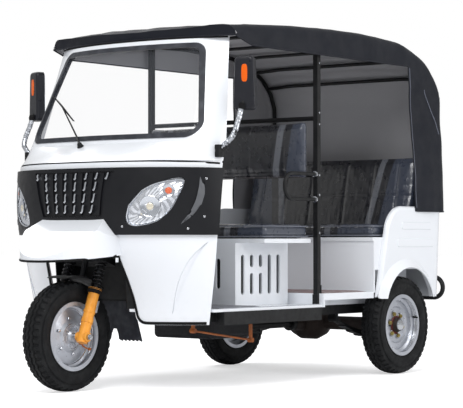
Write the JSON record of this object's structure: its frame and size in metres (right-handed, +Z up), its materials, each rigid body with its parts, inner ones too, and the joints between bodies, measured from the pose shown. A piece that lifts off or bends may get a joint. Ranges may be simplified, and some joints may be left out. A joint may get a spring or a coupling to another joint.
{
  "type": "auto rickshaw",
  "caption": "Passenger auto rickshaw with a steered front wheel, open cab, slotted engine cover, cloth canopy and rear bench.",
  "frame": {"origin": "on the ground, midway between the front-most and rear-most points, on the centre plane", "axes": "+X forward, +Y to the vehicle's left, +Z up"},
  "size_m": [2.72, 1.5168, 1.87],
  "materials": {
    "white_paint": "gloss",
    "black_paint": "satin",
    "mask_plastic": "matte",
    "black_gloss": "gloss",
    "lamp_lens": "gloss",
    "windscreen_glass": "gloss",
    "seal_rubber": "matte",
    "bright_steel": "polished",
    "canopy_cloth": "matte",
    "seat_cover": "satin",
    "tyre_rubber": "matte",
    "rim_steel": "satin",
    "hub_iron": "matte",
    "fork_orange": "gloss",
    "axle_steel": "satin",
    "engine_metal": "matte",
    "tail_lens": "gloss"
  },
  "bodies": {
    "chassis": {"chassis_frame": "black_paint", "floor_pan": "white_paint", "cab_front": "white_paint", "windscreen_surround": "white_paint", "windscreen_seal": "seal_rubber", "windscreen": "windscreen_glass", "front_mask": "mask_plastic", "grille": "mask_plastic", "headlamp_left": "lamp_lens", "headlamp_right": "lamp_lens", "front_fender": "white_paint", "wheel_well": "black_paint", "mud_flap": "seal_rubber", "dashboard": "mask_plastic", "wiper": "black_paint", "mirror_left": "black_gloss", "mirror_right": "black_gloss", "mirror_arms": "bright_steel", "roof_frame": "black_paint", "grab_loops": "black_paint", "driver_seat_base": "white_paint", "driver_cushion": "seat_cover", "driver_backrest": "seat_cover", "rear_seat_base": "white_paint", "rear_cushion": "seat_cover", "rear_backrest": "seat_cover", "side_panel_left": "white_paint", "side_panel_right": "white_paint", "rear_panel": "white_paint", "tail_lamps": "tail_lens", "canopy": "canopy_cloth", "rear_bumper": "black_paint", "rear_axle": "hub_iron", "leaf_springs": "black_paint", "engine": "engine_metal", "propshaft": "black_paint", "brake_linkage": "axle_steel", "exhaust": "black_paint"},
    "steering": {"fork_yoke": "black_paint", "fork_lowers": "fork_orange", "fork_springs": "black_paint", "front_axle": "axle_steel", "handlebar": "black_paint"},
    "front_wheel": {"front_rim": "rim_steel", "front_tyre": "tyre_rubber"},
    "rear_left_wheel": {"rear_left_rim": "rim_steel", "rear_left_hub": "hub_iron", "rear_left_tyre": "tyre_rubber"},
    "rear_right_wheel": {"rear_right_rim": "rim_steel", "rear_right_hub": "hub_iron", "rear_right_tyre": "tyre_rubber"}
  },
  "joints": [
    {"name": "steering", "type": "hinge", "parent": "chassis", "child": "steering", "pos_m": [1.03779, 0, 0.268], "axis": [-0.342, 0, 0.9397], "range_deg": [-38, 38]},
    {"name": "front_wheel_spin", "type": "hinge", "parent": "steering", "child": "front_wheel", "pos_m": [1.091, 0, 0.268], "axis": [0, 1, 0], "continuous": true},
    {"name": "rear_left_spin", "type": "hinge", "parent": "chassis", "child": "rear_left_wheel", "pos_m": [-0.919, 0.579, 0.268], "axis": [0, 1, 0], "continuous": true},
    {"name": "rear_right_spin", "type": "hinge", "parent": "chassis", "child": "rear_right_wheel", "pos_m": [-0.919, -0.579, 0.268], "axis": [0, 1, 0], "continuous": true}
  ]
}
